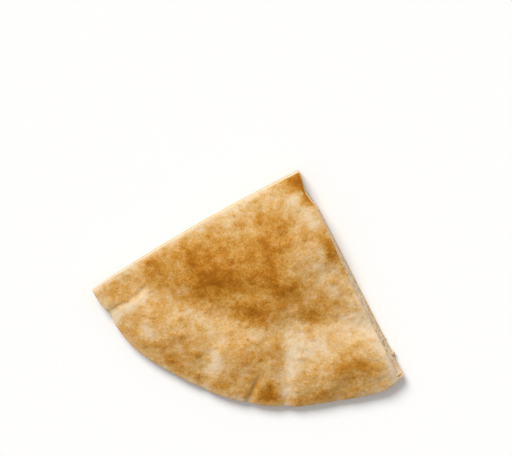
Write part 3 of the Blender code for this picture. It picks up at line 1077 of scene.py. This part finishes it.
def make_loose_crumbs():
    form = bmesh.new()
    for (centre, outward), (bigness, stretch, turn, seed) in crumb_places(CRUMB_COUNT):
        size = CRUMB_SMALL + (CRUMB_LARGE - CRUMB_SMALL) * bigness ** CRUMB_SIZE_POWER
        made = bmesh.ops.create_icosphere(form, subdivisions=3, radius=size)["verts"]
        spin = Matrix.Rotation(math.tau * turn, 3, outward)
        for vert in made:
            ragged = 1 + CRUMB_RAGGED * noise.noise(vert.co / size * CRUMB_LUMPS + Vector((40 * seed, 9, 3)))
            flat_y, flat_z = CRUMB_FLATNESS
            shape = Vector((vert.co.x * (1 + stretch), vert.co.y * flat_y, vert.co.z * flat_z)) * ragged
            vert.co = centre + outward * size * CRUMB_SINK + spin @ shape
    crumbs = bpy.data.meshes.new("loose_crumbs")
    form.to_mesh(crumbs)
    form.free()
    crumbs.shade_smooth()
    return crumbs


TORN_PATCH, TORN_CONTRAST, TORN_PALER = 0.0016, 1.4, 0.58
TORN_GRAIN, TORN_BUMP = 0.0003, 0.00012


def make_torn_crumb():
    material, tree, surface, place = new_material("torn_crumb")
    toasted = math_node(tree, "MULTIPLY", noise_node(tree, place, TORN_PATCH, 1.0), TORN_CONTRAST)
    toasted = math_node(tree, "SUBTRACT", toasted, TORN_PALER)
    look = use_group(tree, browning_group, Vector=place, Toast=toasted, Speckle=0.6, Flour=0.5)
    tree.links.new(look["Color"], surface.inputs["Base Color"])
    surface.inputs["Roughness"].default_value = 0.9
    surface.inputs["Specular IOR Level"].default_value = 0.1
    bump(tree, surface, noise_node(tree, place, TORN_GRAIN, 2.0), TORN_BUMP)
    return material


loose_crumbs = bpy.data.objects.new("loose_crumbs", make_loose_crumbs())
bpy.context.scene.collection.objects.link(loose_crumbs)
loose_crumbs.data.materials.append(make_torn_crumb())
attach(loose_crumbs, "root")


# ---------------------------------------------------------------------------
# The table, the light and the camera: a plain white top, one broad soft light
# from the upper left and a white fill from all round, with the camera almost
# straight above the bread.
# ---------------------------------------------------------------------------

FLOOR_SIZE = 6.0
FLOOR_GAP = 0.0002
FLOOR_WHITE = (0.92, 0.92, 0.92, 1.0)
FLOOR_COOL = (0.93, 0.93, 0.935, 1.0)
FLOOR_CLOUD = 0.02


def make_floor():
    ground = bpy.data.meshes.new("table_top")
    form = bmesh.new()
    bmesh.ops.create_grid(form, x_segments=1, y_segments=1, size=FLOOR_SIZE / 2)
    form.to_mesh(ground)
    form.free()
    floor = bpy.data.objects.new("table_top", ground)
    floor.location.z = node_low[2] * MM - FLOOR_GAP
    bpy.context.scene.collection.objects.link(floor)
    material, tree, surface, place = new_material("matt_white")
    white = mix_node(tree, noise_node(tree, place, FLOOR_CLOUD, 3.0), FLOOR_WHITE, FLOOR_COOL)
    tree.links.new(white, surface.inputs["Base Color"])
    surface.inputs["Roughness"].default_value = 0.8
    surface.inputs["Specular IOR Level"].default_value = 0.2
    ground.materials.append(material)
    return floor


make_floor()


def aim(obj, place, target, up=None):
    """Puts a lamp or camera at a place, looking at the target, with `up` at the top of its view."""
    away = (Vector(place) - Vector(target)).normalized()
    side = (up or Vector((0, 1, 0))).cross(away).normalized()
    rise = away.cross(side)
    obj.matrix_world = Matrix((
        (side.x, rise.x, away.x, place[0]),
        (side.y, rise.y, away.y, place[1]),
        (side.z, rise.z, away.z, place[2]),
        (0, 0, 0, 1),
    ))


# The bread's +Y points this far to the right of straight up, as the camera sees it.
TURN = math.radians(16.3)
view_right = Vector((math.cos(TURN), math.sin(TURN), 0))
view_up = Vector((-math.sin(TURN), math.cos(TURN), 0))
middle = Vector((0, 0, 0.005))

KEY_FROM = math.radians(120)  # turned anticlockwise from the right of the view
KEY_HEIGHT = math.radians(39.5)
KEY_SPREAD = math.radians(30)
KEY_STRENGTH = 3.06
KEY_COLOR = (1.0, 0.99, 0.97)
FILL_STRENGTH = 0.46
BACKDROP_STRENGTH = 0.54  # added to the fill only where the camera sees past the table

key_data = bpy.data.lights.new("key_light", "SUN")
key_data.angle = KEY_SPREAD
key_data.energy = KEY_STRENGTH
key_data.color = KEY_COLOR
key = bpy.data.objects.new("key_light", key_data)
bpy.context.scene.collection.objects.link(key)
toward_key = view_right * math.cos(KEY_FROM) + view_up * math.sin(KEY_FROM)
toward_key = toward_key * math.cos(KEY_HEIGHT) + Vector((0, 0, math.sin(KEY_HEIGHT)))
aim(key, middle + toward_key, middle)

world = bpy.data.worlds.new("studio")
bpy.context.scene.world = world
world.use_nodes = True
studio = world.node_tree
backdrop = studio.nodes["Background"]
backdrop.inputs["Color"].default_value = (1.0, 1.0, 1.0, 1.0)
seen = studio.nodes.new("ShaderNodeLightPath").outputs["Is Camera Ray"]
glow = math_node(studio, "ADD", math_node(studio, "MULTIPLY", seen, BACKDROP_STRENGTH), FILL_STRENGTH)
studio.links.new(glow, backdrop.inputs["Strength"])

VIEW_WIDTH = 0.1815  # how much of the table the camera takes in from side to side
CAMERA_DISTANCE = 0.95
CAMERA_LEAN = math.radians(7)  # towards the tip, so that the cut edges just show
SENSOR_WIDTH = 36.0
TIP_HEIGHT = 0.008
TIP_ASIDE = 0.00105
LOOK_LEFT = 0.0152  # where the camera looks, from the tip
LOOK_DOWN = 0.0200

camera_data = bpy.data.cameras.new("camera")
camera_data.sensor_width = SENSOR_WIDTH
camera_data.lens = SENSOR_WIDTH * CAMERA_DISTANCE / VIEW_WIDTH
camera_data.clip_start = 0.05
camera_data.clip_end = 20
camera = bpy.data.objects.new("camera", camera_data)
bpy.context.scene.collection.objects.link(camera)
bpy.context.scene.camera = camera
tip = Vector((TIP_ASIDE, node_high[1] * MM, TIP_HEIGHT))
look_at = tip - view_right * LOOK_LEFT - view_up * LOOK_DOWN
away = Vector((0, 0, math.cos(CAMERA_LEAN))) + view_up * math.sin(CAMERA_LEAN)
aim(camera, look_at + away * CAMERA_DISTANCE, look_at, view_up)

bpy.context.scene.view_settings.view_transform = "Standard"
